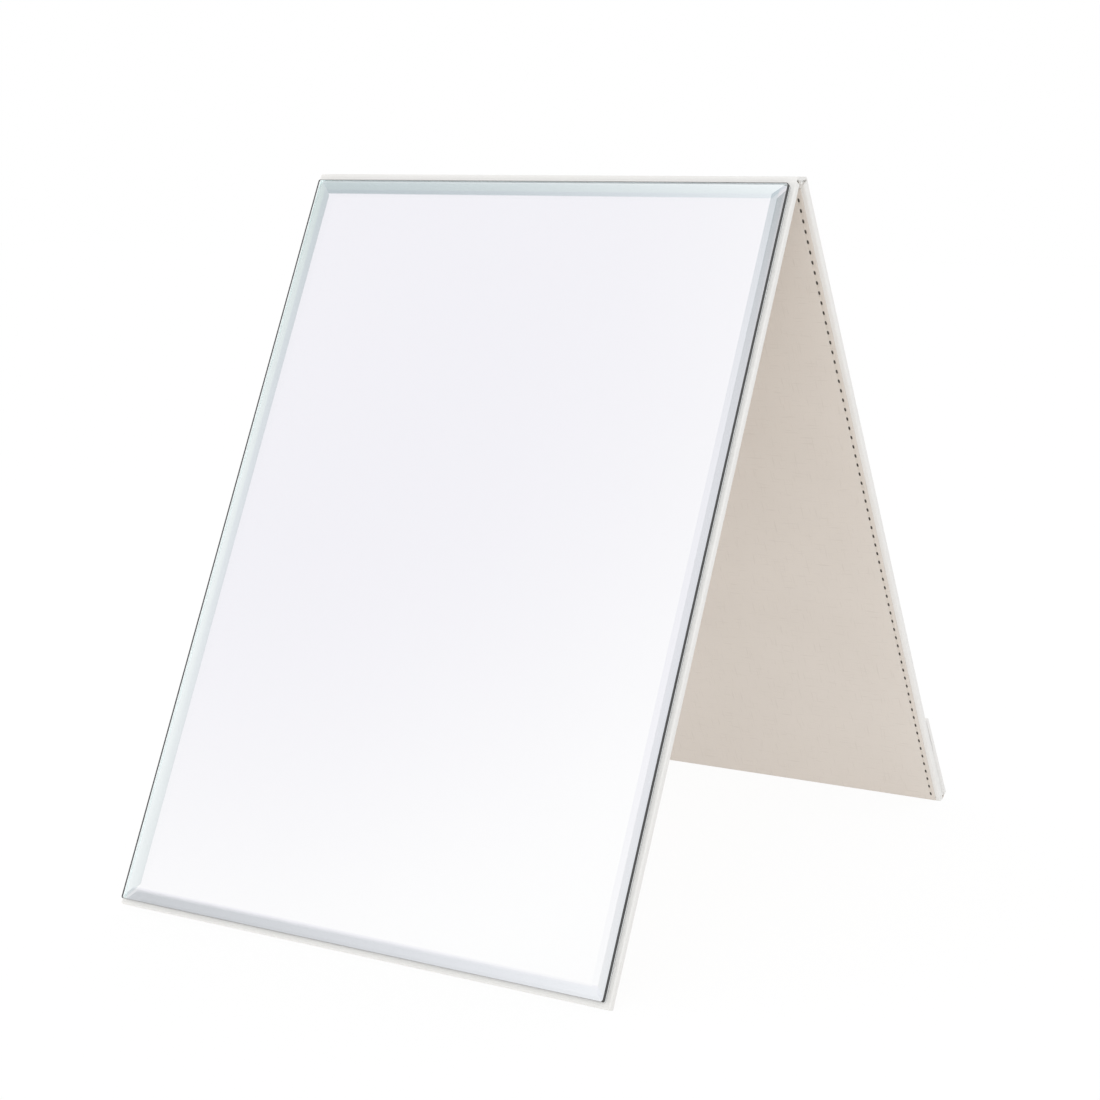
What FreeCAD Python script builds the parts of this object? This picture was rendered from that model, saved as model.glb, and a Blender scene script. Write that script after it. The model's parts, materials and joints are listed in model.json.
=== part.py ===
import FreeCAD, Part
import math
import os
from FreeCAD import Placement, Rotation, Vector

# A folding makeup mirror that stands like a tent: a mirror leaf in front, a stand leaf behind,
# a leather spine with two creases between them, and a closing flap folded up behind the stand leaf.
# Millimetres. X runs across the mirror, the mirror faces -Y, Z is up, the table is Z = 0.

# Mirror plate: bevelled A4 glass, silvered and filmed behind, held by strips of tape
glass_width = 210.0
glass_height = 297.0
glass_thickness = 3.0
glass_corner_radius = 0.8
bevel_width = 5.0
bevel_depth = 1.1
silvering_thickness = 0.1
film_thickness = 0.1
tape_thickness = 0.3
tape_width = 24.0
tape_margin = 5.0
tape_count = 5

# Leather, lining and boards
leather_border = 2.0
skin_thickness = 0.5
skin_edge_radius = 0.7
turn_in = 15.0
board_thickness = 2.0
lining_thickness = 0.4
lining_border = 2.0
lining_foot_border = 1.0
lining_corner_radius = 1.0
stand_leaf_length = 306.0

# How it stands: the angle between the leaves, and how far their lower edges press flat
opening_degrees = 55.2
foot_flat_depth = 0.2

# Spine: room left for the flap when the stand shuts over the glass, and between linings folded back
shut_room = 3.5
folded_back_room = 1.2
spine_stay_thickness = 0.3
spine_stay_margin = 0.8
crease_radius = 0.35
crease_clearance = 0.1
spine_fold_clearance = 0.25

# Closing flap, with its gaps to the stand leaf at the fold and at the free edge
flap_length = 45.0
flap_board_thickness = 1.0
flap_turn_in = 8.0
flap_fold_gap = 1.8
flap_tip_gap = 0.3
flap_end_gap = 0.6
flap_tongue_reach = 0.2

# Magnets in the flap, and the steel discs in both leaves that they hold to
magnet_count = 3
magnet_radius = 5.0
magnet_tip_margin = 12.0
magnet_side_margin = 30.0
keeper_radius = 6.0
keeper_thickness = 0.5

# Sizes that follow from those above
leaf_width = glass_width + 2 * leather_border
mirror_leaf_length = glass_height + 2 * leather_border
leaf_thickness = board_thickness + 2 * skin_thickness
flap_thickness = flap_board_thickness + 2 * skin_thickness
glass_seat = leaf_thickness + tape_thickness + film_thickness + silvering_thickness
glass_front = glass_seat + glass_thickness
crease_height = leaf_thickness - skin_thickness / 2
spine_drop = skin_thickness / 2 + spine_stay_thickness + lining_thickness
crease_gap = spine_drop + spine_fold_clearance
tongue_gap = crease_radius + crease_clearance
shut_width = glass_front - crease_height + skin_thickness / 2 + shut_room
folded_back_width = 2 * (crease_height + lining_thickness) + folded_back_room
spine_width = max(shut_width, folded_back_width)
crease_length = leaf_width - 2 * skin_edge_radius
roll_radius = flap_fold_gap / 2
magnet_place = flap_length - magnet_tip_margin
magnet_spread = leaf_width - 2 * magnet_side_margin

# Each leaf leans so that both lower edges, rounded and pressed flat, meet the table
opening = math.radians(opening_degrees)
foot_reach = skin_edge_radius - foot_flat_depth
leaf_side = crease_height - skin_edge_radius
mirror_run = mirror_leaf_length + crease_gap - skin_edge_radius
stand_run = stand_leaf_length + crease_gap - skin_edge_radius
lean_rise = mirror_run - stand_run * math.cos(opening) - leaf_side * math.sin(opening)
lean_reach = stand_run * math.sin(opening) - leaf_side * math.cos(opening) - leaf_side
mirror_lean = math.atan2(lean_rise, lean_reach)
stand_lean = opening - mirror_lean
flap_lean = stand_lean + math.asin((flap_fold_gap - flap_tip_gap) / flap_length)
hinge_height = mirror_run * math.cos(mirror_lean) + leaf_side * math.sin(mirror_lean) + foot_reach


# Shapes that repeat. A leaf is drawn lying flat: X across, Y from its lower edge up, Z out to its leather face.
def sheet(width, low_y, high_y, low_z, high_z):
    """A flat sheet centred on X."""
    return Part.makeBox(width, high_y - low_y, high_z - low_z, Vector(-width / 2, low_y, low_z))


def rounded_corners(solid, radius):
    """Round the four upright corners of a sheet."""
    upright = [e for e in solid.Edges if abs(e.tangentAt(e.FirstParameter).z) == 1]
    return solid.makeFillet(radius, upright)


def rounded_edges(solid, square_lines):
    """Round every edge of a sheet but those along X on the (y, z) lines that stay square."""
    kept = []
    for edge in solid.Edges:
        middle = edge.CenterOfMass
        runs_across = abs(edge.tangentAt(edge.FirstParameter).x) == 1
        if runs_across and (middle.y, middle.z) in square_lines:
            continue
        kept.append(edge)
    return solid.makeFillet(skin_edge_radius, kept)


def discs(radius, place, low_z, high_z):
    """A row of equal discs across a leaf."""
    row = []
    for index in range(magnet_count):
        x = magnet_spread * (index / (magnet_count - 1)) - magnet_spread / 2
        row.append(Part.makeCylinder(radius, high_z - low_z, Vector(x, place, low_z)))
    return Part.makeCompound(row)


def wrapped_board(length, thickness, turned, square_ends, tongues):
    """Skin, board and infill of a leaf: leather over one face, round the edges and turned in behind."""
    face = thickness + 2 * skin_thickness
    board_width = leaf_width - 2 * skin_thickness
    board = sheet(board_width, skin_thickness, length - skin_thickness, skin_thickness, skin_thickness + thickness)
    infill = sheet(leaf_width - 2 * turned, turned, length - turned, 0, skin_thickness)
    whole = rounded_edges(sheet(leaf_width, 0, length, 0, face), [(end, face) for end in square_ends])
    for low_y, high_y in tongues:
        whole = whole.fuse(sheet(crease_length, low_y, high_y, face - skin_thickness, face))
    skin = whole.cut(board).cut(infill).removeSplitter()
    return skin, board, infill


def lining_sheet(length, foot_border):
    """The lining glued over the turned-in leather, short of the leaf's edges."""
    low_z = -lining_thickness
    flat = sheet(leaf_width - 2 * lining_border, foot_border, length - lining_border, low_z, 0)
    return rounded_corners(flat, lining_corner_radius)


# Mirror plate
def mirror_plate():
    """Bevelled glass with mitred facets, and the layers that hold it to the leather."""
    low_y = leather_border
    high_y = leather_border + glass_height
    shoulder = glass_front - bevel_depth

    def outline(inset, z):
        x = glass_width / 2 - inset
        low = low_y + inset
        high = high_y - inset
        points = [Vector(-x, low, z), Vector(x, low, z), Vector(x, high, z), Vector(-x, high, z)]
        return Part.makePolygon(points + points[:1])

    facets = Part.makeLoft([outline(0, shoulder), outline(bevel_width, glass_front)], True, True)
    plate = sheet(glass_width, low_y, high_y, glass_seat, shoulder).fuse(facets).removeSplitter()
    blank = rounded_corners(sheet(glass_width, low_y, high_y, glass_seat, glass_front), glass_corner_radius)
    film_low = leaf_thickness + tape_thickness
    film_high = film_low + film_thickness
    film = rounded_corners(sheet(glass_width, low_y, high_y, film_low, film_high), glass_corner_radius)
    silvering = rounded_corners(sheet(glass_width, low_y, high_y, film_high, glass_seat), glass_corner_radius)
    return {
        "mirror_glass": plate.common(blank),
        "mirror_silvering": silvering,
        "mirror_safety_film": film,
        "mirror_tape": tape_strips(low_y, high_y),
    }


def tape_strips(low_y, high_y):
    """Double-sided tape in even strips across the back of the plate."""
    width = glass_width - 2 * tape_margin
    first = low_y + tape_margin
    step = (high_y - low_y - 2 * tape_margin - tape_width) / (tape_count - 1)
    strips = []
    for index in range(tape_count):
        start = first + step * index
        strips.append(sheet(width, start, start + tape_width, leaf_thickness, leaf_thickness + tape_thickness))
    return Part.makeCompound(strips)


# Mirror leaf, with steel discs let into the back of its board for the flap to hold to when shut
def mirror_leaf():
    top_tongue = (mirror_leaf_length - skin_thickness, mirror_leaf_length + crease_gap - tongue_gap)
    skin, board, infill = wrapped_board(
        mirror_leaf_length, board_thickness, turn_in, [mirror_leaf_length], [top_tongue]
    )
    keepers = discs(keeper_radius, magnet_place, skin_thickness, skin_thickness + keeper_thickness)
    pieces = {
        "mirror_leaf_skin": skin,
        "mirror_leaf_board": board.cut(keepers),
        "mirror_leaf_infill": infill,
        "mirror_leaf_keepers": keepers,
        "mirror_leaf_lining": lining_sheet(mirror_leaf_length, lining_border),
    }
    pieces.update(mirror_plate())
    return pieces


# Stand leaf, with steel discs let into the outer side of its board, and the roll of the flap's fold
def stand_leaf():
    top_tongue = (stand_leaf_length - skin_thickness, stand_leaf_length + crease_gap - tongue_gap)
    foot_tongue = (flap_tongue_reach + crease_clearance - roll_radius, skin_thickness)
    skin, board, infill = wrapped_board(
        stand_leaf_length, board_thickness, turn_in, [0, stand_leaf_length], [top_tongue, foot_tongue]
    )
    board_face = skin_thickness + board_thickness
    keepers = discs(keeper_radius, magnet_place, board_face - keeper_thickness, board_face)
    roll_end = Vector(-crease_length / 2, -roll_radius, leaf_thickness + roll_radius)
    return {
        "stand_leaf_skin": skin,
        "stand_leaf_board": board.cut(keepers),
        "stand_leaf_infill": infill,
        "stand_leaf_keepers": keepers,
        "stand_leaf_lining": lining_sheet(stand_leaf_length, lining_foot_border),
        "flap_fold_roll": Part.makeCylinder(roll_radius, crease_length, roll_end, Vector(1, 0, 0)),
    }


# Closing flap, its leather face towards the stand leaf, with magnets let through its board
def closing_flap():
    length = flap_length - flap_end_gap
    tongue = (-flap_end_gap - flap_tongue_reach, skin_thickness)
    skin, board, infill = wrapped_board(length, flap_board_thickness, flap_turn_in, [0], [tongue])
    magnets = discs(
        magnet_radius, magnet_place - flap_end_gap, skin_thickness, skin_thickness + flap_board_thickness
    )
    return {
        "flap_skin": skin,
        "flap_board": board.cut(magnets),
        "flap_infill": infill,
        "flap_magnets": magnets,
        "flap_lining": lining_sheet(length, lining_border),
    }


# Spine: leather strip rolled at both creases, a stiff stay under it, and its lining
def spine():
    def strip(margin, low_z, high_z):
        return Part.makeBox(
            crease_length, spine_width - 2 * margin, high_z - low_z, Vector(-crease_length / 2, margin, low_z)
        )

    skin = strip(0, -skin_thickness / 2, skin_thickness / 2)
    for y in (0, spine_width):
        start = Vector(-crease_length / 2, y, 0)
        skin = skin.fuse(Part.makeCylinder(crease_radius, crease_length, start, Vector(1, 0, 0)))
    stay_low = -skin_thickness / 2 - spine_stay_thickness
    return {
        "spine_skin": skin.removeSplitter(),
        "spine_stay": strip(spine_stay_margin, stay_low, -skin_thickness / 2),
        "spine_lining": strip(spine_stay_margin, -spine_drop, stay_low),
    }


# Standing the flat pieces up round the two creases
def stand_up(pieces, turn, pivot, place):
    """Turn pieces about a point of their flat drawing and bring that point to its place."""
    away = Placement(-pivot, Rotation())
    upright = Placement(place, turn)
    for solid in pieces.values():
        solid.Placement = upright.multiply(away).multiply(solid.Placement)
    return pieces


across = Vector(1, 0, 0)
about_face = Rotation(Vector(0, 0, 1), 180)
front_crease = Vector(0, -spine_width / 2, hinge_height)
rear_crease = Vector(0, spine_width / 2, hinge_height)
mirror_turn = Rotation(across, 90 - math.degrees(mirror_lean))
stand_turn = about_face.multiply(Rotation(across, 90 - math.degrees(stand_lean)))
flap_turn = Rotation(across, 90 + math.degrees(flap_lean))

mirror_pivot = Vector(0, mirror_leaf_length + crease_gap, crease_height)
stand_pivot = Vector(0, stand_leaf_length + crease_gap, crease_height)
roll_centre = Vector(0, -roll_radius, leaf_thickness + roll_radius)
flap_crease = rear_crease + stand_turn.multVec(roll_centre - stand_pivot)
flap_pivot = Vector(0, -flap_end_gap, flap_thickness + roll_radius + crease_clearance)

parts = {}
parts.update(stand_up(mirror_leaf(), mirror_turn, mirror_pivot, front_crease))
parts.update(stand_up(spine(), Rotation(), Vector(0, 0, 0), front_crease))
parts.update(stand_up(stand_leaf(), stand_turn, stand_pivot, rear_crease))
parts.update(stand_up(closing_flap(), flap_turn, flap_pivot, flap_crease))

# The lower edges and the flap's fold press flat where they meet the table
below_table = Part.makeBox(
    2 * leaf_width, 2 * stand_leaf_length, leaf_thickness, Vector(-leaf_width, -stand_leaf_length, -leaf_thickness)
)
for name in ("mirror_leaf_skin", "stand_leaf_skin", "flap_fold_roll"):
    parts[name] = parts[name].cut(below_table)

# Depth is centred on the whole object
box = Part.makeCompound(list(parts.values())).optimalBoundingBox()
centring = Vector(0, -(box.YMin + box.YMax) / 2, 0)

os.makedirs("parts", exist_ok=True)
for name, solid in parts.items():
    solid.translate(centring)
    solid.exportStep("parts/" + name + ".step")
    print(name, len(solid.Solids), "solids,", round(solid.Volume, 1), "mm3, valid", solid.isValid())

for label, point in (("front", front_crease), ("rear", rear_crease), ("flap", flap_crease)):
    centred = point + centring
    print(label, "crease at y", round(centred.y, 4), "z", round(centred.z, 4))
for label, lean in (("mirror", mirror_lean), ("stand", stand_lean), ("flap", flap_lean)):
    print(label, "leans", round(math.degrees(lean), 4), "degrees")
print("spine", round(spine_width, 3), "box", round(box.XLength, 3), round(box.YLength, 3), round(box.ZLength, 3))
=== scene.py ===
# %% [markdown]
# # A folding makeup mirror
# A bevelled mirror plate stands on a leather-covered leaf. A second leaf props it up from behind and also
# shuts over the glass, and a magnetic flap is folded up at the foot of that second leaf. The CAD model
# holds every piece at its real size and place. This lesson sets a camera and light and then dresses the
# model: leather with soft edges, a linen-look lining, sewn seams, and real glass over silver.

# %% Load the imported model
import json
import math

import bmesh
import bpy
from mathutils import Matrix, Vector


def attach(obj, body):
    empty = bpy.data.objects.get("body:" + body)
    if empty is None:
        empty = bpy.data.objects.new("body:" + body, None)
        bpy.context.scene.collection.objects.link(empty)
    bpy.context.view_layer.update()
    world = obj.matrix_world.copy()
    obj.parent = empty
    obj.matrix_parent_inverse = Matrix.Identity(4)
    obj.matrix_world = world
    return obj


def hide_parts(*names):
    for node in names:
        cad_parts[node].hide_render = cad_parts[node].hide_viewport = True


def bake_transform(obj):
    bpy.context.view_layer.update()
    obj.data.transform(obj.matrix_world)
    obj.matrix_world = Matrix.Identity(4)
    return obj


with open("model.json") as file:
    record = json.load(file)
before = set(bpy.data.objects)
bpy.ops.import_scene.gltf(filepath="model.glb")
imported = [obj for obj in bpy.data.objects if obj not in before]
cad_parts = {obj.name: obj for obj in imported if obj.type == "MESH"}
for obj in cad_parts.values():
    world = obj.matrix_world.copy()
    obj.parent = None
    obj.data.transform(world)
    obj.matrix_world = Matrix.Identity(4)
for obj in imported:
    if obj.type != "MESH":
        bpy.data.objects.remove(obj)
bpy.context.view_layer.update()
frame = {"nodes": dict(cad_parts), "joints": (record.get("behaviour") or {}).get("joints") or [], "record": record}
scene = bpy.context.scene

# %% [markdown]
# ## Axes for each board
# The leaves lean, so their pieces are easier to make in a leaf's own axes: x across, l up the leaf from its
# lower edge, n out through the leather face. They could be typed in as angles, but the CAD boards already
# lean the right way. The largest face of a board gives its normal, and its corners give its size.

# %% Leaf axes
mm = 0.001
leather_thickness = 0.5 * mm
across = Vector((1, 0, 0))


class Axes:
    """A piece's own axes: x across, l up along it, n out through its face."""

    def __init__(self, origin, up, out):
        self.origin, self.up, self.out = origin, up, out

    def place(self, x, l, n):
        return self.origin + across * x + self.up * l + self.out * n

    def reach(self, node):
        """The lowest and highest (x, l, n) of a CAD node."""
        points = [vertex.co - self.origin for vertex in frame["nodes"][node].data.vertices]
        sides = [[point.dot(axis) for point in points] for axis in (across, self.up, self.out)]
        return Vector([min(side) for side in sides]), Vector([max(side) for side in sides])


class Leaf(Axes):
    """A board in its leather cover. The axes start at the cover's lower edge, on the lining side."""

    def __init__(self, name, body, looks):
        self.name, self.body = name, body
        board = name + "_board"
        sides = [face for face in frame["nodes"][board].data.polygons if face.normal.dot(looks) > 0]
        out = max(sides, key=lambda face: face.area).normal.copy()
        up = out.cross(across)
        if up.z < 0:
            up.negate()
        super().__init__(Vector(), up, out)
        low, high = self.reach(board)
        self.origin = self.place(0, low.y - leather_thickness, low.z - leather_thickness)
        self.half_width = high.x + leather_thickness
        self.length = high.y - low.y + 2 * leather_thickness
        self.thickness = high.z - low.z + 2 * leather_thickness
        self.lining = self.reach(name + "_lining")


mirror = Leaf("mirror_leaf", "mirror_leaf", Vector((0, -1, 1)))
stand = Leaf("stand_leaf", "stand_leaf", Vector((0, 1, 1)))
flap = Leaf("flap", "closing_flap", Vector((0, -1, -1)))
leaves = (mirror, stand, flap)
creases = {joint["name"]: Vector(joint["pos_m"]) for joint in frame["joints"]}
for leaf in leaves:
    size = [round(side / mm, 2) for side in (2 * leaf.half_width, leaf.length, leaf.thickness)]
    print(leaf.name, "mm:", size, "normal:", [round(c, 3) for c in leaf.out])

# %% [markdown]
# ## Camera
# The picture was taken from the front right, a little above the table, with a longish lens. The camera's
# place and turn were worked out from the four corners of the glass. A camera can be aimed with a
# constraint, but three axes in a matrix say the same and leave nothing to update.

# %% Camera
camera_place = Vector((0.47325, -0.77816, 0.28711))
camera_right = Vector((0.85254, 0.52263, -0.00551)).normalized()
camera_back = Vector((0.51543, -0.83852, 0.17665)).normalized()
camera_lens = 76.0

camera = bpy.data.objects.new("camera", bpy.data.cameras.new("camera"))
scene.collection.objects.link(camera)
turn = Matrix((camera_right, camera_back.cross(camera_right), camera_back)).transposed()
camera.matrix_world = Matrix.Translation(camera_place) @ turn.to_4x4()
camera.data.lens = camera_lens
scene.camera = camera
scene.view_settings.view_transform = "Standard"
print("camera at", [round(c, 3) for c in camera.matrix_world.translation], "lens", camera.data.lens)

# %% [markdown]
# ## Shader maths as plain expressions
# Node trees get long when each link is written out. This small class holds one output socket, and its
# operators add Math nodes, so a pattern reads as a formula. Every other node comes from `node`: first its
# settings, then the values or links of its sockets. `feed` does the same for a node that is already there.
# A colour is written as three numbers. The same class also builds the Geometry Nodes later.


# %% Wire class
class Wire:
    """One output socket of a node tree. Arithmetic on wires adds Math nodes."""

    def __init__(self, tree, socket=None):
        self.tree = tree
        self.socket = socket

    def feed(self, node, feeds):
        """Link wires to a node's inputs, and set plain values on them."""
        for name, value in feeds.items():
            socket = node.inputs[name]
            if isinstance(value, Wire):
                self.tree.links.new(value.socket, socket)
            else:
                socket.default_value = (*value, 1.0) if socket.type == "RGBA" else value

    def node(self, kind, settings=None, feeds=None, output=0):
        made = self.tree.nodes.new(kind)
        for name, value in (settings or {}).items():
            setattr(made, name, value)
        self.feed(made, feeds or {})
        return Wire(self.tree, made.outputs[output])

    def out(self, name):
        return Wire(self.tree, self.socket.node.outputs[name])

    def maths(self, operation, first, second=0.0):
        return self.node("ShaderNodeMath", {"operation": operation}, {0: first, 1: second})

    def __add__(self, other):
        return self.maths("ADD", self, other)

    def __sub__(self, other):
        return self.maths("SUBTRACT", self, other)

    def __rsub__(self, other):
        return self.maths("SUBTRACT", other, self)

    def __mul__(self, other):
        return self.maths("MULTIPLY", self, other)

    __radd__ = __add__
    __rmul__ = __mul__

    def step(self, low, high):
        """0 below low, 1 above high, smooth between. Swapped limits turn it round."""
        limits = {"Value": self, "From Min": low, "From Max": high}
        return self.node("ShaderNodeMapRange", {"interpolation_type": "SMOOTHSTEP"}, limits)

    def mix(self, none, full):
        """A colour that goes from none to full as this wire goes from 0 to 1."""
        return self.node("ShaderNodeMix", {"data_type": "RGBA"}, {0: self, 6: none, 7: full}, output=2)

    def dot(self, other):
        settings = {"operation": "DOT_PRODUCT"}
        return self.node("ShaderNodeVectorMath", settings, {0: self, 1: other}, output="Value")

    def noise(self, scale, detail=2.0):
        return self.node("ShaderNodeTexNoise", feeds={"Vector": self, "Scale": scale, "Detail": detail})

    def bump(self, strength, depth):
        feeds = {"Strength": strength, "Distance": depth, "Height": self}
        return self.node("ShaderNodeBump", feeds=feeds)


def new_finish(name):
    """A material, its object coordinates and its main shader."""
    material = bpy.data.materials.new(name)
    material.use_nodes = True
    shader = material.node_tree.nodes["Principled BSDF"]
    return material, Wire(material.node_tree).node("ShaderNodeTexCoord", output="Object"), shader


print("wire class ready")

# %% [markdown]
# ## Room, floor and lamps
# The picture is a product shot: white all round, hardly any shadow, and a mirror that shows only the pale
# studio. The world is white to the camera and in reflections, with one dim lilac patch up on the left where
# the mirror looks, which is what gives the glass its faint gradient. Light on the object is set apart from
# that, at a plain level, a little dimmer from the right. The floor shows white but keeps part of its
# shading, so a soft shadow stays. It is a light table, so half of what it gives the object is its own
# light, which reaches in under the leaves.

# %% World
white = (1.0, 1.0, 1.0)
sky_level = 0.95
right_sky_level = 0.70
right_reach = (0.2, 1.0)
dim_centre = Vector((-0.65, -0.46, 0.60)).normalized()
dim_reach = (0.935, 0.99)
dim_colour = (0.905, 0.897, 0.940)
high_reach = (0.66, 1.0)
high_colour = (0.80, 0.81, 0.83)


def ray_kinds(wire):
    """Whether a ray comes straight from the camera, and whether it comes by way of glass."""
    rays = wire.node("ShaderNodeLightPath", output="Is Camera Ray")
    return rays, wire.maths("MAXIMUM", rays.out("Is Glossy Ray"), rays.out("Is Transmission Ray"))


world = bpy.data.worlds.new("studio")
scene.world = world
world.use_nodes = True
sky = Wire(world.node_tree)
direction = sky.node("ShaderNodeTexCoord", output="Generated")
straight, in_glass = ray_kinds(sky)
dimness = direction.dot(dim_centre).step(*dim_reach)
highness = direction.dot(Vector((0, 0, 1))).step(*high_reach)
reflected = highness.mix(dimness.mix(white, dim_colour), high_colour)
rightness = direction.dot(across).step(*right_reach)
light = rightness.mix((sky_level,) * 3, (right_sky_level,) * 3)
shown = straight.mix(in_glass.mix(light, reflected), white)
sky.feed(world.node_tree.nodes["Background"], {"Color": shown})
print("world light level", sky_level)

# %% Floor
floor_half = 4.0
floor_height = -0.05 * mm
floor_own_light = 0.90
floor_table_light = 0.50
floor_glow = 1.02
paper_scale = 900.0
paper_tones = ((0.90, 0.90, 0.90), (0.93, 0.93, 0.93))

floor_mesh = bpy.data.meshes.new("floor")
corners = [(x * floor_half, y * floor_half, floor_height) for x, y in ((-1, -1), (1, -1), (1, 1), (-1, 1))]
floor_mesh.from_pydata(corners, [], [(0, 1, 2, 3)])
floor = bpy.data.objects.new("floor", floor_mesh)
scene.collection.objects.link(floor)
material, place, shader = new_finish("floor_paper")
seen = place.maths("MAXIMUM", *ray_kinds(place))
own_light = floor_table_light + (floor_own_light - floor_table_light) * seen
tone = place.noise(paper_scale).mix(*paper_tones)
place.feed(shader, {"Base Color": tone, "Roughness": 0.95, "Specular IOR Level": 0.0})
glow = place.node("ShaderNodeEmission", feeds={"Color": white, "Strength": floor_glow})
paper = Wire(place.tree, shader.outputs[0])
shown = place.node("ShaderNodeMixShader", feeds={0: own_light, 1: paper, 2: glow})
place.feed(material.node_tree.nodes["Material Output"], {"Surface": shown})
floor_mesh.materials.append(material)
print("floor ready, height mm:", floor_height / mm)


# %% Lamps
def soft_lamp(name, place, target, size, watts):
    light = bpy.data.lights.new(name, "AREA")
    light.size = size
    light.energy = watts
    lamp = bpy.data.objects.new(name, light)
    scene.collection.objects.link(lamp)
    aim = Vector(target) - Vector(place)
    lamp.matrix_world = Matrix.Translation(place) @ aim.to_track_quat("-Z", "Y").to_matrix().to_4x4()
    lamp.visible_camera = False
    lamp.visible_transmission = False
    lamp.visible_glossy = False
    print("lamp", name, "watts", watts)


soft_lamp("front_lamp", (0.5, -1.3, 0.7), (0, -0.1, 0.1), 1.2, 2.6)
soft_lamp("right_lamp", (1.2, 0.20, 0.20), (0, 0.05, 0.12), 0.8, 0.2)
soft_lamp("left_lamp", (-0.9, 0.00, 0.15), (0.05, 0.08, 0.12), 0.6, 1.3)

# %% [markdown]
# ## Leather
# The cover is an off-white coated leather with a fine pebble grain, slightly creamy where the light goes
# into it. Cells of about a millimetre, bent by noise so that no two are alike, give the grain. The same
# cells feed the bump, the roughness and a very small change of colour, because real grain shows in all
# three. An image could do this too, but a procedural grain has no seams and no fixed size.

# %% Leather finish
pebble_size = 1.0 * mm
pebble_depth = 0.05 * mm
pebble_rim = 0.30
bend_size = 0.9 * mm
bend_scale = 600.0
pore_scale = 3500.0
leather_cloud_scale = 22.0


def leather_finish(name, light, dark):
    material, place, shader = new_finish(name)
    drift = place.node("ShaderNodeTexNoise", feeds={"Vector": place, "Scale": bend_scale}, output="Color")
    bend = {0: drift, 1: (bend_size,) * 3, 2: place}
    bent = place.node("ShaderNodeVectorMath", {"operation": "MULTIPLY_ADD"}, bend, output="Vector")
    cells = {"Vector": bent, "Scale": 1 / pebble_size}
    edge = place.node("ShaderNodeTexVoronoi", {"feature": "DISTANCE_TO_EDGE"}, cells, output="Distance")
    pebble = edge.step(0.0, pebble_rim)
    pores = place.noise(pore_scale)
    cloud = place.noise(leather_cloud_scale, 3.0)
    tone = cloud.step(0.25, 0.75) * 0.45 + pebble * 0.35 + pores * 0.20
    place.feed(shader, {
        "Base Color": tone.mix(dark, light),
        "Roughness": 0.40 + 0.12 * cloud + 0.10 * (1 - pebble),
        "Normal": (pebble + 0.25 * pores).bump(0.45, pebble_depth),
        "IOR": 1.46,
    })
    return material


leather = leather_finish("cream_leather", (0.915, 0.907, 0.888), (0.86, 0.85, 0.828))
print("leather nodes:", len(leather.node_tree.nodes))

# %% [markdown]
# ## Lining
# The inner faces have a warm beige lining with a linen look: a plain weave, and here and there a thicker
# thread, a slub, that shows as a short darker mark. The weave follows the leaf, so its two directions are
# the dot products of the object coordinates with the leaf's own axes. Stretched noise gives the slubs.

# %% Lining finish
weave_pitch = 0.55 * mm
weave_depth = 0.05 * mm
slub_width = 0.7 * mm
slub_length = 9.0 * mm
slub_cut = (0.60, 0.78)
fibre_scale = 2600.0
linen_cloud_scale = 30.0
linen_light = (0.825, 0.768, 0.710)
linen_dark = (0.725, 0.668, 0.610)


def linen_finish(name, up):
    material, place, shader = new_finish(name)
    sideways, upward = place.dot(across), place.dot(up)
    ridges = [place.maths("SINE", way * (math.pi / weave_pitch)) for way in (sideways, upward)]
    weave = place.maths("ABSOLUTE", ridges[0] * ridges[1])
    slubs = []
    for long_way, cross_way in ((sideways, upward), (upward, sideways)):
        spread = {0: long_way * (1 / slub_length), 1: cross_way * (1 / slub_width)}
        streak = place.node("ShaderNodeCombineXYZ", feeds=spread)
        slubs.append(streak.noise(1.0, 1.0).step(*slub_cut))
    slub = place.maths("MAXIMUM", *slubs)
    fibre = place.noise(fibre_scale)
    cloud = place.noise(linen_cloud_scale, 3.0)
    tone = 0.50 + 0.45 * (cloud - 0.5) + 0.35 * (fibre - 0.5) + 0.20 * (weave - 0.5) - 0.50 * slub
    place.feed(shader, {
        "Base Color": tone.mix(linen_dark, linen_light),
        "Roughness": 0.72 + 0.14 * fibre - 0.08 * weave,
        "Normal": (weave + 0.5 * slub + 0.3 * fibre).bump(0.5, weave_depth),
        "Specular IOR Level": 0.3,
    })
    return material


for leaf in leaves:
    leaf.linen = linen_finish(leaf.name + "_linen", leaf.up)
spine_linen = linen_finish("spine_linen", Vector((0, 1, 0)))
print("lining finishes:", [leaf.linen.name for leaf in leaves], spine_linen.name)

# %% [markdown]
# ## A sheet with soft edges
# Both the leather round a board and the lining on it are thin boxes whose edges are rounded. A cube with a
# Bevel modifier would do, but the seams need shallow channels at exact places. So the box is made as a grid
# on each side, with lines close together round the edges and at the channels. Each grid point is pulled in
# to the box's core and pushed out again by the edge radius, which rounds edges and corners alike.

# %% Rounded sheets
grid_step = 12.0 * mm
line_gap = 0.002 * mm
round_turns = (45, 30, 15, 0, -20)
channel_wall = 0.05 * mm
crisp_angle = math.radians(36)


def grid_lines(low, high, radius, marks):
    near = [radius * (1 - math.tan(math.radians(turn))) for turn in round_turns]
    fixed = sorted([low + t for t in near] + [high - t for t in near] + list(marks))
    lines = fixed[:1]
    for start, end in zip(fixed, fixed[1:]):
        if end - lines[-1] > line_gap:
            parts = max(1, round((end - start) / grid_step))
            lines += [start + (end - start) * part / parts for part in range(1, parts + 1)]
    return lines


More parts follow.
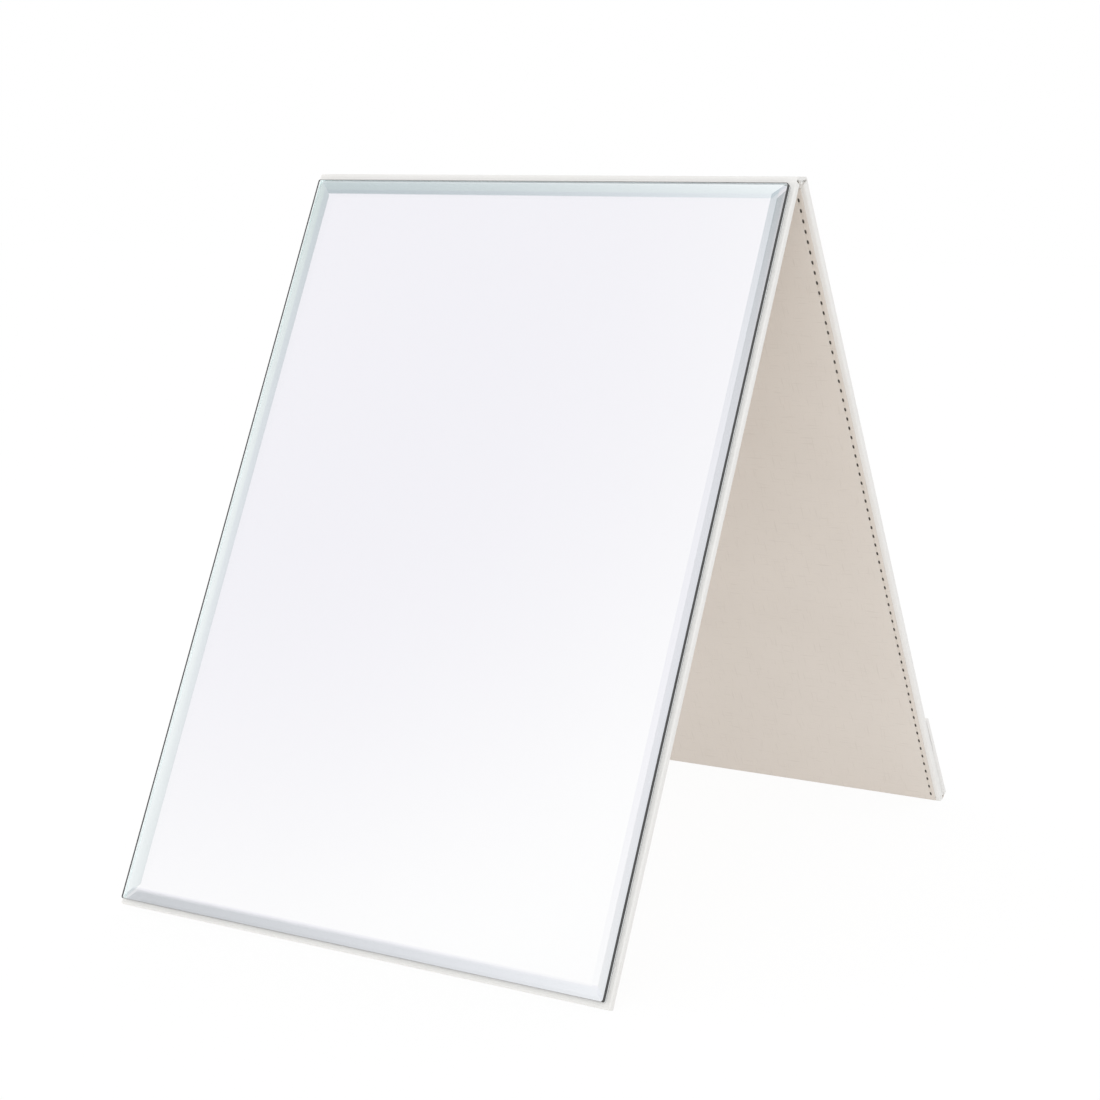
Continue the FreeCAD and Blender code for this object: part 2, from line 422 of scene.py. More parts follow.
def rounded_sheet(leaf, low, high, radius, channels=(), facing=1, turn_in=None):
    """A mesh between two (x, l, n) corners, with soft edges. Channels (x0, x1, l0, l1, depth) are let into
    the face that facing names. turn_in leaves a window in the back, as leather folded round a board does."""
    marks = [[], [], []]
    for x0, x1, l0, l1, _ in channels:
        marks[0] += [x0, x0 + channel_wall, x1 - channel_wall, x1]
        marks[1] += [l0, l0 + channel_wall, l1 - channel_wall, l1]
    if turn_in:
        marks[0] += [low[0] + turn_in, high[0] - turn_in]
        marks[1] += [low[1] + turn_in, high[1] - turn_in]
    lines = [grid_lines(low[a], high[a], radius, marks[a]) for a in range(3)]
    last = [len(line) - 1 for line in lines]
    sheet = bmesh.new()
    made = {}

    def corner(index):
        if index not in made:
            point = Vector([lines[a][index[a]] for a in range(3)])
            core = Vector([min(max(point[a], low[a] + radius), high[a] - radius) for a in range(3)])
            soft = core + (point - core).normalized() * radius
            if index[2] == (last[2] if facing > 0 else 0):
                half = channel_wall / 2
                for x0, x1, l0, l1, depth in channels:
                    if x0 + half < point.x < x1 - half and l0 + half < point.y < l1 - half:
                        soft.z -= facing * depth
                        break
            spot = leaf.place(*soft)
            spot.z = max(spot.z, 0.0)
            made[index] = sheet.verts.new(spot)
        return made[index]

    window = []
    for axis in range(3):
        u, v = (axis + 1) % 3, (axis + 2) % 3
        for end in (0, last[axis]):
            for i in range(last[u]):
                for j in range(last[v]):
                    loop = []
                    for di, dj in ((0, 0), (1, 0), (1, 1), (0, 1)):
                        index = [0, 0, 0]
                        index[axis], index[u], index[v] = end, i + di, j + dj
                        loop.append(corner(tuple(index)))
                    face = sheet.faces.new(loop)
                    if turn_in and axis == 2 and end == 0:
                        x, l = (lines[0][i] + lines[0][i + 1]) / 2, (lines[1][j] + lines[1][j + 1]) / 2
                        inside_x = low[0] + turn_in < x < high[0] - turn_in
                        if inside_x and low[1] + turn_in < l < high[1] - turn_in:
                            window.append(face)
    bmesh.ops.recalc_face_normals(sheet, faces=sheet.faces)
    bmesh.ops.delete(sheet, geom=window, context="FACES")
    return sheet


def new_piece(name, form, finishes):
    """An object from a bmesh, shaded smooth, at the origin."""
    mesh = bpy.data.meshes.new(name)
    form.to_mesh(mesh)
    form.free()
    mesh.shade_smooth()
    for material in finishes:
        mesh.materials.append(material)
    piece = bpy.data.objects.new(name, mesh)
    scene.collection.objects.link(piece)
    print(name, "faces:", len(mesh.polygons))
    return piece


def crisp(piece):
    """Keep the walls of seam channels sharp, so that they don't shade the flat face beside them."""
    piece.data.set_sharp_from_angle(angle=crisp_angle)
    return piece


def settle(piece):
    """Turn a piece and its modifiers into one plain mesh."""
    graph = bpy.context.evaluated_depsgraph_get()
    mesh = bpy.data.meshes.new_from_object(piece.evaluated_get(graph))
    piece.modifiers.clear()
    old = piece.data
    piece.data = mesh
    bpy.data.meshes.remove(old)
    mesh.name = piece.name
    return piece


print("sheet functions ready, grid step mm:", grid_step / mm)

# %% [markdown]
# ## Where the seams run
# The cover is one long sheet of leather, board and lining, sewn round its rim: up both sides of each leaf,
# across the lower end of the mirror leaf and across the tip of the flap. Holes are 4.4 mm apart. Each run is
# a whole number of stitches long, so the last stitch ends in a hole as the first began in one.

# %% Seam runs
stitch_pitch = 4.4 * mm
seam_inset = 1.8 * mm
seam_width = 2.4 * mm
seam_depth = 0.33 * mm
run_end_room = 3.5 * mm


def side_runs(low, high, first):
    """Two runs up the sides, from l = first (or down from it, where first is the tip)."""
    x = high.x - seam_inset
    upward = first < (low.y + high.y) / 2
    room = (high.y - run_end_room - first) if upward else (first - low.y - run_end_room / 2)
    span = int(room / stitch_pitch) * stitch_pitch
    ends = (first, first + span) if upward else (first - span, first)
    return [((side * x, ends[0]), (side * x, ends[1])) for side in (-1, 1)]


def cross_run(high, l):
    """One run across an end, between the two side runs."""
    room = 2 * (high.x - seam_inset - seam_width / 2) - stitch_pitch
    half = int(room / stitch_pitch) * stitch_pitch / 2
    return [((-half, l), (half, l))]


def seam_channels(runs):
    channels = []
    for (x0, l0), (x1, l1) in runs:
        ahead = stitch_pitch / 2
        wide = seam_width / 2
        dx, dl = (ahead, wide) if l0 == l1 else (wide, ahead)
        channels.append((x0 - dx, x1 + dx, l0 - dl, l1 + dl, seam_depth))
    return channels


low, high = mirror.lining
mirror.runs = side_runs(low, high, low.y + seam_inset) + cross_run(high, low.y + seam_inset)
low, high = stand.lining
stand.runs = side_runs(low, high, low.y + run_end_room)
low, high = flap.lining
flap.runs = side_runs(low, high, high.y - seam_inset) + cross_run(high, high.y - seam_inset)
for leaf in leaves:
    lengths = [(Vector(end) - Vector(start)).length for start, end in leaf.runs]
    print(leaf.name, "stitches in each run:", [round(length / stitch_pitch) for length in lengths])

# %% [markdown]
# ## Leather round the boards
# Leather is wrapped round each board and its margin is turned in behind. The outside of that wrap is a
# rounded sheet with a window in its back, and Solidify gives it the thickness of leather, inwards, so the
# outside keeps the CAD size. The lower edge of the stand leaf is where the lining runs down and under to
# the fold of the flap, so that narrow band takes the lining's finish.

# %% Leather skins
skin_edge_radius = 0.7 * mm
flap_edge_radius = 0.5 * mm
leaf_turn_in = 15.0 * mm
flap_turn_in = 8.0 * mm
board_gap = 0.02 * mm


def leather_skin(leaf, radius, turn_in, runs=(), finishes=(leather,)):
    low = Vector((-leaf.half_width, 0.0, 0.0))
    high = Vector((leaf.half_width, leaf.length, leaf.thickness))
    form = rounded_sheet(leaf, low, high, radius, seam_channels(runs), 1, turn_in)
    piece = new_piece(leaf.name + "_leather", form, finishes)
    wall = piece.modifiers.new("leather_thickness", "SOLIDIFY")
    wall.thickness = leather_thickness - board_gap
    wall.offset = -1
    crisp(settle(piece))
    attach(piece, leaf.body)
    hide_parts(leaf.name + "_skin")
    return piece


leather_skin(mirror, skin_edge_radius, leaf_turn_in)
stand_skin = leather_skin(stand, skin_edge_radius, leaf_turn_in, stand.runs, (leather, stand.linen))
leather_skin(flap, flap_edge_radius, flap_turn_in, flap.runs)

# %% Lined foot of the stand leaf
foot_band_height = 1.1 * mm
foot_band_depth = 2.7 * mm
foot_band_margin = 1.8 * mm

banded = 0
for face in stand_skin.data.polygons:
    spot = face.center - stand.origin
    in_band = spot.dot(stand.up) < foot_band_height and spot.dot(stand.out) < foot_band_depth
    if in_band and abs(spot.x) < stand.half_width - foot_band_margin:
        face.material_index = 1
        banded += 1
print("faces in the lined band:", banded)

# %% [markdown]
# ## Lining sheets
# The lining is 0.4 mm thick and stops about 2 mm short of the leaf's edge, so a thin border of leather
# shows all round it. Each sheet is the same rounded form, as large as its CAD node, with channels for the
# seam in the face that shows.

# %% Linings
lining_edge_radius = 0.16 * mm

for leaf in leaves:
    low, high = leaf.lining
    form = rounded_sheet(leaf, low, high, lining_edge_radius, seam_channels(leaf.runs), -1)
    piece = crisp(new_piece(leaf.name + "_linen_sheet", form, (leaf.linen,)))
    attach(piece, leaf.body)
    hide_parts(leaf.name + "_lining")

# %% [markdown]
# ## Stitches
# A seam repeats one stitch hundreds of times, so Geometry Nodes make it. Each run is a single edge. The tree
# turns it into a curve, sets a point at every hole and places three small shapes there: a bed that lines the
# channel and dips to the hole, the hole itself, painted near black for the shade deep inside it, and the
# thread that arches from this hole to the next. The thread leaves out the last hole of a run. Realize
# Instances makes them one real mesh.

# %% Thread and needle holes
ply_scale = 1800.0
ply_depth = 0.06 * mm
age_scale = 60.0
fluff_scale = 2500.0


def thread_finish(name, light, dark):
    material, place, shader = new_finish(name)
    ply = place.noise(ply_scale, 3.0)
    age = place.noise(age_scale)
    place.feed(shader, {
        "Base Color": (0.6 * ply + 0.4 * age).mix(dark, light),
        "Roughness": 0.50 + 0.25 * ply,
        "Normal": ply.bump(0.6, ply_depth),
    })
    return material


# The near-black of a needle hole is painted shade, for the shade deep inside it; the fluff noise only varies it.
def hole_shade_finish(name, light, dark):
    material, place, shader = new_finish(name)
    fluff = place.noise(fluff_scale)
    place.feed(shader, {
        "Base Color": fluff.mix(dark, light),
        "Roughness": 0.80 + 0.15 * fluff,
        "Specular IOR Level": 0.1,
    })
    return material


beige_thread = thread_finish("beige_thread", (0.83, 0.77, 0.70), (0.68, 0.62, 0.55))
cream_thread = thread_finish("cream_thread", (0.92, 0.90, 0.86), (0.80, 0.78, 0.73))
# Needle holes get near-black painted shade.
needle_hole = hole_shade_finish("needle_hole", (0.13, 0.115, 0.10), (0.05, 0.045, 0.04))
print("seam finishes:", beige_thread.name, cream_thread.name, needle_hole.name)

# %% One stitch
hole_length = 2.0 * mm
hole_width = 0.85 * mm
hole_points = 16
hole_base_share = 0.8
hole_base_dip = 0.9 * seam_depth
groove_depth = 0.10 * mm
collar_share = 1.35
collar_dip = 0.7 * groove_depth
mouth_dip = 1.4 * groove_depth
thread_radius = 0.22 * mm
thread_rise = 0.10 * mm
thread_sink = 0.8 * seam_depth
thread_tuck = 0.80 * mm
thread_sides = 6
thread_steps = 6


def hole_loop(form, share, height):
    turns = [math.radians(360 * k / hole_points) for k in range(hole_points)]
    half = (hole_width / 2 * share, hole_length / 2 * share)
    return [form.verts.new((half[0] * math.cos(t), half[1] * math.sin(t), height)) for t in turns]


def bridge(form, outer, inner):
    """A band of faces between two loops of the same length."""
    pairs = [(k, (k + 1) % len(outer)) for k in range(len(outer))]
    return [form.faces.new((outer[k], outer[after], inner[after], inner[k])) for k, after in pairs]


def stitch_bed():
    form = bmesh.new()
    rim = []
    ways = ((1, 0), (1, 0.5), (1, 1), (0.5, 1), (0, 1), (-0.5, 1), (-1, 1), (-1, 0.5))
    for x, y in ways + tuple((-x, -y) for x, y in ways):
        dip = groove_depth * (1 - abs(x)) if abs(y) == 1 else 0.0
        rim.append(form.verts.new((x * seam_width / 2, y * stitch_pitch / 2, -dip)))
    collar = hole_loop(form, collar_share, -collar_dip)
    mouth = hole_loop(form, 1.0, -mouth_dip)
    bridge(form, rim, collar)
    bridge(form, collar, mouth)
    return form


def stitch_hole():
    form = bmesh.new()
    mouth = hole_loop(form, 1.0, -mouth_dip)
    base = hole_loop(form, hole_base_share, -hole_base_dip)
    bridge(form, mouth, base)
    form.faces.new(base)
    return form


def stitch_thread():
    form = bmesh.new()
    rings = []
    for step in range(thread_steps + 1):
        t = step / thread_steps
        lift = math.sin(math.pi * t) ** 0.5
        y = thread_tuck + t * (stitch_pitch - 2 * thread_tuck)
        z = -thread_sink + (thread_sink + thread_rise) * lift - thread_radius / 2
        ring = []
        for side in range(thread_sides):
            angle = 2 * math.pi * side / thread_sides
            around = Vector((math.cos(angle), 0, math.sin(angle)))
            ring.append(form.verts.new(Vector((0, y, z)) + around * thread_radius))
        rings.append(ring)
    for before, after in zip(rings, rings[1:]):
        bridge(form, before, after)
    form.faces.new(rings[0])
    form.faces.new(reversed(rings[-1]))
    bmesh.ops.recalc_face_normals(form, faces=form.faces)
    return form


stitch_forms = {"Bed": stitch_bed(), "Hole": stitch_hole(), "Thread": stitch_thread()}
templates = {name: new_piece("stitch_" + name.lower(), form, ()) for name, form in stitch_forms.items()}

# %% Seam tree
seam_tree = bpy.data.node_groups.new("sewn_seam", "GeometryNodeTree")
inputs = {}
kinds = {"Runs": "Geometry", "Pitch": "Float", "Facing": "Vector", "Bed": "Object", "Hole": "Object",
         "Thread": "Object", "Bed finish": "Material", "Hole finish": "Material", "Thread finish": "Material"}
for name, kind in kinds.items():
    socket = seam_tree.interface.new_socket(name, in_out="INPUT", socket_type="NodeSocket" + kind)
    inputs[name] = socket.identifier
seam_tree.interface.new_socket("Seam", in_out="OUTPUT", socket_type="NodeSocketGeometry")

given = Wire(seam_tree).node("NodeGroupInput")
line = given.node("GeometryNodeMeshToCurve", feeds={"Mesh": given.out("Runs")})
spacing = {"Curve": line, "Length": given.out("Pitch")}
spaced = given.node("GeometryNodeResampleCurve", {"mode": "LENGTH"}, spacing)
along = given.node("GeometryNodeInputTangent")
axes = {"Primary Axis": given.out("Facing"), "Secondary Axis": along}
turned = given.node("FunctionNodeAxesToRotation", {"primary_axis": "Z", "secondary_axis": "Y"}, axes)
is_last = given.node("GeometryNodeCurveEndpointSelection", feeds={"Start Size": 0, "End Size": 1})
has_next = given.node("FunctionNodeBooleanMath", {"operation": "NOT"}, {0: is_last})
joined = seam_tree.nodes.new("GeometryNodeJoinGeometry")
for name in stitch_forms:
    shape = given.node("GeometryNodeObjectInfo", feeds={"Object": given.out(name)}, output="Geometry")
    feeds = {"Points": spaced, "Instance": shape, "Rotation": turned}
    if name == "Thread":
        feeds["Selection"] = has_next
    placed = given.node("GeometryNodeInstanceOnPoints", feeds=feeds)
    real = given.node("GeometryNodeRealizeInstances", feeds={"Geometry": placed})
    finish = {"Geometry": real, "Material": given.out(name + " finish")}
    given.feed(joined, {"Geometry": given.node("GeometryNodeSetMaterial", feeds=finish)})
output = seam_tree.nodes.new("NodeGroupOutput")
seam_tree.links.new(joined.outputs["Geometry"], output.inputs["Seam"])
print("seam tree nodes:", len(seam_tree.nodes))

# %% Sew the seams
pitch_slack = 0.9999


def sew(name, leaf, height, facing, bed_finish, thread):
    mesh = bpy.data.meshes.new(name)
    ends = [leaf.place(x, l, height) for run in leaf.runs for x, l in run]
    mesh.from_pydata(ends, [(2 * k, 2 * k + 1) for k in range(len(leaf.runs))], [])
    piece = bpy.data.objects.new(name, mesh)
    scene.collection.objects.link(piece)
    sewing = piece.modifiers.new("seam", "NODES")
    sewing.node_group = seam_tree
    values = {"Pitch": stitch_pitch * pitch_slack, "Facing": leaf.out * facing, "Bed finish": bed_finish,
              "Hole finish": needle_hole, "Thread finish": thread}
    for key, value in (values | templates).items():
        sewing[inputs[key]] = value
    settle(piece)
    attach(piece, leaf.body)
    print(name, "faces:", len(piece.data.polygons))


for leaf in leaves:
    sew(leaf.name + "_seam", leaf, leaf.lining[0].z, -1, leaf.linen, beige_thread)
    if leaf is not mirror:
        sew(leaf.name + "_outer_seam", leaf, leaf.thickness, 1, leather, cream_thread)
for template in templates.values():
    bpy.data.objects.remove(template)

# %% [markdown]
# ## The soft hinge
# At the top the leather runs on from one leaf to the other over a narrow spine, and bends at two creases.
# Each half of the hinge is a strip of leather that runs from a leaf, turns smoothly round its crease and
# ends at the middle of the spine.

# %% Hinge leather
strip_thickness = 0.56 * mm
strip_reach = 3.4 * mm
strip_end_radius = 0.25 * mm
strip_end_share = 0.55
crease_softness = 0.55 * mm
crease_steps = 8
crease_turn = 0.9 * mm
spine_half = mirror.half_width - 0.15 * mm


def bent_path(start, bend, end):
    """Points from start to end that turn softly at the bend."""
    before = bend + (start - bend).normalized() * crease_softness
    after = bend + (end - bend).normalized() * crease_softness
    path = [start, start.lerp(before, 0.15), start.lerp(before, 0.6)]
    for step in range(crease_steps + 1):
        t = step / crease_steps
        path.append(before * (1 - t) ** 2 + bend * 2 * t * (1 - t) + after * t ** 2)
    return path + [after.lerp(end, 0.4), after.lerp(end, 0.85), end]


def leather_strip(name, path, thickness, half_width, finish):
    """A strip across the mirror whose section follows a path. Its thickness changes along the path."""
    form = bmesh.new()
    steps = list(zip(path[:1] + path[:-1], path[1:] + path[-1:]))
    normals = [across.cross(after - before).normalized() for before, after in steps]
    stations = grid_lines(-half_width, half_width, strip_end_radius, ())
    rings = []
    for x in stations:
        deep = min(half_width - abs(x), strip_end_radius) / strip_end_radius
        share = strip_end_share + (1 - strip_end_share) * math.sqrt(1 - (1 - deep) ** 2)
        ring = []
        for side in (1, -1):
            row = [p + n * (side * share * t / 2) + across * x for p, n, t in zip(path, normals, thickness)]
            ring.append([form.verts.new(spot) for spot in row])
        rings.append(ring)
    last = len(path) - 1
    for left, right in zip(rings, rings[1:]):
        for side in (0, 1):
            for k in range(last):
                form.faces.new((left[side][k], left[side][k + 1], right[side][k + 1], right[side][k]))
        for k in (0, last):
            form.faces.new((left[0][k], left[1][k], right[1][k], right[0][k]))
    for ring in (rings[0], rings[-1]):
        for k in range(last):
            form.faces.new((ring[0][k], ring[0][k + 1], ring[1][k + 1], ring[1][k]))
    bmesh.ops.recalc_face_normals(form, faces=form.faces)
    return new_piece(name, form, (finish,))


front_crease, rear_crease = creases["spine_fold"], creases["stand_fold"]
spine_middle = (front_crease + rear_crease) / 2
spine_way = (rear_crease - front_crease).normalized()

path = bent_path(front_crease - mirror.up * strip_reach, front_crease, spine_middle)
tapered = [0.5 * strip_thickness] + [strip_thickness] * (len(path) - 1)
front_hinge = leather_strip("front_crease_leather", path, tapered, spine_half, leather)
turn_from = front_crease - mirror.up * crease_turn
turn_to = front_crease + spine_way * crease_turn
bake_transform(front_hinge)
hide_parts("spine_skin")

path = bent_path(rear_crease - stand.up * strip_reach, rear_crease, spine_middle)
rear_hinge = leather_strip("rear_crease_leather", path, tapered, spine_half, leather)
turn_from = rear_crease - spine_way * crease_turn
turn_to = rear_crease - stand.up * crease_turn
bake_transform(rear_hinge)

# %% Spine lining
spine = Axes(front_crease, spine_way, Vector((0, 0, 1)))
low, high = spine.reach("spine_lining")
form = rounded_sheet(spine, low, high, lining_edge_radius)
spine_sheet = new_piece("spine_linen_sheet", form, (spine_linen,))
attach(spine_sheet, "spine")
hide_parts("spine_lining")

# %% [markdown]
# ## Turned-in ends of the spine
# At both ends of the hinge the leather is turned in over the spine's layers, and the bulk of it fills the
# gap between the tops of the leaves. It is drawn as a section, half of it mirrored from the other, and
# extruded a little way in. It narrows downwards, so the leaves still close on it when they fold back.

# %% Spine hems
hem_reach = 0.9 * mm
hem_margin = 0.05 * mm
hem_softness = 0.2 * mm
hem_half_section = [(3.5, -0.10), (3.3, -0.72), (1.9, -0.98), (1.20, -1.06), (0.90, -1.32), (0.80, -2.00),
                    (0.42, -2.45)]

section = [(-y, z) for y, z in hem_half_section] + hem_half_section[::-1]
hem_axes = Axes(spine_middle, spine_way, spine.out)
outer_x = spine_half - hem_margin
form = bmesh.new()
for side in (-1, 1):
    loops = []
    for x in (side * outer_x, side * (outer_x - hem_reach)):
        loops.append([form.verts.new(hem_axes.place(x, y * mm, z * mm)) for y, z in section])
    bridge(form, *loops)
    caps = [form.faces.new(loop) for loop in loops]
    rims = [edge for cap in caps for edge in cap.edges]
    bmesh.ops.bevel(form, geom=rims, offset=hem_softness, segments=2, profile=0.5, affect="EDGES")
bmesh.ops.recalc_face_normals(form, faces=form.faces)
spine_hems = new_piece("spine_hems", form, (leather,))
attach(spine_hems, "spine")

# %% [markdown]
# ## The fold of the flap
# The flap hangs on a soft roll of leather and lining under the stand leaf's lower edge. It is a strip that
# goes under the crease in one smooth curve, from the leaf at one end to the flap at the other. Inside it a
# doubling of white leather runs down the leaf, turns and goes up the flap.
# It is pared thin towards both ends and all but fills the room between leaf and flap.

# %% Flap fold
fold_thickness = 0.62 * mm
fold_steps = 16
fold_margin = 0.7 * mm
flap_crease = creases["flap_fold"]
fold_ends = (stand.place(0, 0.5 * mm, 1.5 * mm), flap.place(0, 0.5 * mm, 0.9 * mm))
fold_pulls = [flap_crease + Vector((0, y * mm, z * mm)) for y, z in ((-1.0, -0.70), (1.7, -0.72))]


def soft_curve(start, pulls, end, steps):
    """Points of a cubic curve that leaves start and reaches end towards its two pulls."""
    points = []
    for step in range(steps + 1):
        t = step / steps
        shares = ((1 - t) ** 3, 3 * t * (1 - t) ** 2, 3 * t ** 2 * (1 - t), t ** 3)
        points.append(sum((p * s for p, s in zip((start, *pulls, end), shares)), Vector()))
    return points


path = soft_curve(fold_ends[0], fold_pulls, fold_ends[1], fold_steps)
thickness = [fold_thickness] * len(path)
fold = leather_strip("flap_fold_linen", path, thickness, flap.half_width - fold_margin, stand.linen)
for vertex in fold.data.vertices:
    vertex.co.z = max(vertex.co.z, 0.0)
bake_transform(fold)
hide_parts("flap_fold_roll")

# %% Leather inside the fold
doubling_slit = 0.25 * mm
doubling_margin = 0.25 * mm
doubling_rows = [(34.0, 0.08), (31.0, 0.50), (27.0, 0.90), (20.0, 1.0), (12.0, 1.0), (5.0, 1.0), (2.0, 1.0)]
doubling_turn = 1.3 * mm
doubling_steps = 10
turn_half = 0.12 * mm

down, back_up, thickness = [], [], []
for height, share in doubling_rows:
    on_leaf = stand.place(0, height * mm, stand.thickness)
    on_flap = flap.place(0, height * mm, flap.thickness)
    room = (on_flap - on_leaf).dot(stand.out)
    thickness.append(share * (room - doubling_slit) / 2)
    down.append(on_leaf + stand.out * thickness[-1] / 2)
    back_up.insert(0, on_flap + flap.out * thickness[-1] / 2)
pulls = (down[-1] - stand.up * doubling_turn, back_up[0] - flap.up * doubling_turn)
path = down[:-1] + soft_curve(down[-1], pulls, back_up[0], doubling_steps) + back_up[1:]
thickness = thickness[:-1] + [thickness[-1]] * (doubling_steps + 1) + thickness[-2::-1]
doubling = leather_strip("flap_fold_leather", path, thickness, flap.half_width - doubling_margin, leather)
slit_top, slit_foot = (down[0] + back_up[-1]) / 2, (down[-1] + back_up[0]) / 2
towards_flap = (slit_top - slit_foot).cross(across).normalized()
if towards_flap.dot(stand.out) < 0:
    towards_flap.negate()
ends = [slit_foot + towards_flap * side * turn_half for side in (-1, 1)]
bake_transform(doubling)

# %% [markdown]
# ## Mirror plate
# The plate is clear glass with a ground bevel 5 mm wide, silver on its back. A plain metal slab would
# reflect, but a real bevel shows the silver through sloping glass, and that bends the reflection. So the
# plate is real glass: a flat face, four flat facets that meet in mitres, a ground edge, and silver on the
# back. Each facet is one planar face, so its reflection is clean.

# %% Plate outline
bevel_width = 5.0 * mm
bevel_depth = 1.1 * mm
plate_corner = 0.8 * mm
corner_steps = 8

plate_low, plate_high = mirror.reach("mirror_glass")
shoulder = plate_high.z - bevel_depth
middle_l = (plate_low.y + plate_high.y) / 2
half_l = (plate_high.y - plate_low.y) / 2
half_x = plate_high.x
plate_middle = mirror.place(0, middle_l, 0)


def plate_outline(inset):
    """Points round the plate, a quarter turn of corner_steps at each corner."""
    radius = plate_corner - inset
    points = []
    for quarter, (side_x, side_l) in enumerate(((1, 1), (-1, 1), (-1, -1), (1, -1))):
        for step in range(corner_steps + 1):
            angle = math.radians(90 * (quarter + step / corner_steps))
            x = side_x * (half_x - plate_corner) + radius * math.cos(angle)
            l = side_l * (half_l - plate_corner) + radius * math.sin(angle)
            points.append((x, l))
    return points


def facet_height(x, l):
    return shoulder + min(half_x - abs(x), half_l - abs(l)) * bevel_depth / bevel_width


def plate_vert(form, x, l, n):
    return form.verts.new(mirror.place(x, middle_l + l, n))


print("plate mm:", round(2 * half_x / mm, 2), round(2 * half_l / mm, 2), "bevel:", bevel_width / mm)

# %% [markdown]
# ## Greys of the bevel
# A bevel is ground and then polished, side by side with the next, and never comes out as clear as the flat
# face. It also looks past the room's bright middle, and most of its grey is painted reflection of that darker
# room. Light crosses a facet twice, or once where the other crossing is through the flat face, so even a
# slight grey shows. Each facet has a painted grey near the flat face and one near its outer edge, split at
# an inset, and both drift from one end of the facet to the other. The left facet is clear, and so is the top
# one except at its edge. Their greys are painted bands in the silver under them, which every ray meets just
# once, so no line shows where two crossings change to one.

# %% Glass finishes
glass_ior = 1.52
smear_scale = 14.0
smear_cut = (0.45, 0.75)
streak_scale = 160.0
streak_cut = (0.4, 0.7)
bevel_soft = 0.45 * mm
reflection_drift_powers = {"top": 1.4, "left": 3.0, "bottom": 1.4, "right": 3.5}
clear = (0.98, 0.99, 0.99)
# Painted reflection: the greys of each facet stand in for the darker room it reflects.
facet_reflection_greys = {
    "top": (0.9 * mm, (clear, (0.60, 0.68, 0.69)), (clear, (0.92, 0.96, 0.98))),
    "left": (0.9 * mm, (clear, clear), (clear, clear)),
    "bottom": (4.35 * mm, (clear, (0.64, 0.67, 0.67)), (clear, (0.95, 0.98, 0.98))),
    "right": (2.5 * mm, (clear, (0.90, 0.93, 0.94)), ((0.50, 0.58, 0.58), (0.72, 0.72, 0.71))),
}


def glass_finish(name, light, dark, roughness):
    material, place, shader = new_finish(name)
    smear = place.noise(smear_scale, 3.0)
    place.feed(shader, {
        "Base Color": smear.mix(dark, light),
        "Roughness": roughness * smear.step(*smear_cut),
        "Transmission Weight": 1.0,
        "IOR": glass_ior,
    })
    return material


def side_measures(place, side):
    """A point's inset from one side of the plate, its gaps to that side's two ends, and a drift that goes
    from 0 at the side's left or lower end to 1 at the other."""
    ways = [(across, half_x), (mirror.up, half_l)]
    (way, half), (along, long_half) = ways if side in ("left", "right") else ways[::-1]
    way = way * (-1 if side in ("left", "bottom") else 1)
    inset = half + way.dot(plate_middle) - place.dot(way)
    spot = place.dot(along) - along.dot(plate_middle)
    drift = place.maths("POWER", spot * (0.5 / long_half) + 0.5, reflection_drift_powers[side])
    return inset, (long_half + spot, long_half - spot), drift


def facet_finish(side, split, start_greys, end_greys):
    """Greys are painted reflection, in pairs near the flat face and near the edge. They start at the left or lower
    end.
    """
    material, place, shader = new_finish("bevel_glass_" + side)
    inset, _, drift = side_measures(place, side)
    streak = place.noise(streak_scale, 3.0)
    outer = (inset + bevel_soft * (streak - 0.5)).step(split + bevel_soft, split - bevel_soft)
    place.feed(shader, {
        "Base Color": drift.mix(outer.mix(*start_greys), outer.mix(*end_greys)),
        "Roughness": 0.02 * streak.step(*streak_cut),
        "Transmission Weight": 1.0,
        "IOR": glass_ior,
    })
    return material


clear_glass = glass_finish("clear_glass", white, (0.995, 0.998, 0.998), 0.012)
facet_glass = [facet_finish(side, *greys) for side, greys in facet_reflection_greys.items()]
print("glass finishes:", clear_glass.name, [material.name for material in facet_glass])

# %% Silver and ground edge
silver_scale = 9.0
silver_tones = ((0.985, 0.985, 0.988), (0.995, 0.995, 0.998))
band_mitre = 0.3 * mm
# The grey bands in the silver under the top and left bevels are painted reflection.
bands = {
    "top": ((0.4 * mm, 1.6 * mm), (6.2 * mm, 5.6 * mm),
            (((0.60, 0.68, 0.69), (0.53, 0.60, 0.61)), ((0.92, 0.96, 0.98), (0.82, 0.87, 0.89)))),
    "left": ((0.1 * mm, 0.6 * mm), (6.9 * mm, 6.2 * mm),
             (((0.92, 0.955, 0.965), (0.765, 0.805, 0.815)), ((0.665, 0.75, 0.745), (0.60, 0.66, 0.665)))),
}
edge_glow = 0.66
glow_reach = 0.5 * mm
grit_scale = 2400.0
wave_scale = 120.0


def silver_finish(name):
    """Bright silver with grey bands of painted reflection under two bevels. A band rises near the edge and falls
    further in. Each of its ends has a grey near the edge and one further in."""
    material, place, shader = new_finish(name)
    cloud = place.noise(silver_scale)
    tone = cloud.mix(*silver_tones)
    for side, (rise, fall, (start_greys, end_greys)) in bands.items():
        inset, gaps, drift = side_measures(place, side)
        further_in = inset * (1 / fall[0])
        grey = drift.mix(further_in.mix(*start_greys), further_in.mix(*end_greys))
        band = inset.step(*rise) * inset.step(*fall)
        for gap in gaps:
            band = band * (gap - inset).step(-band_mitre, band_mitre)
        tone = band.mix(tone, grey)
    place.feed(shader, {"Base Color": tone, "Roughness": 0.004 * cloud, "Metallic": 1.0})
    return material


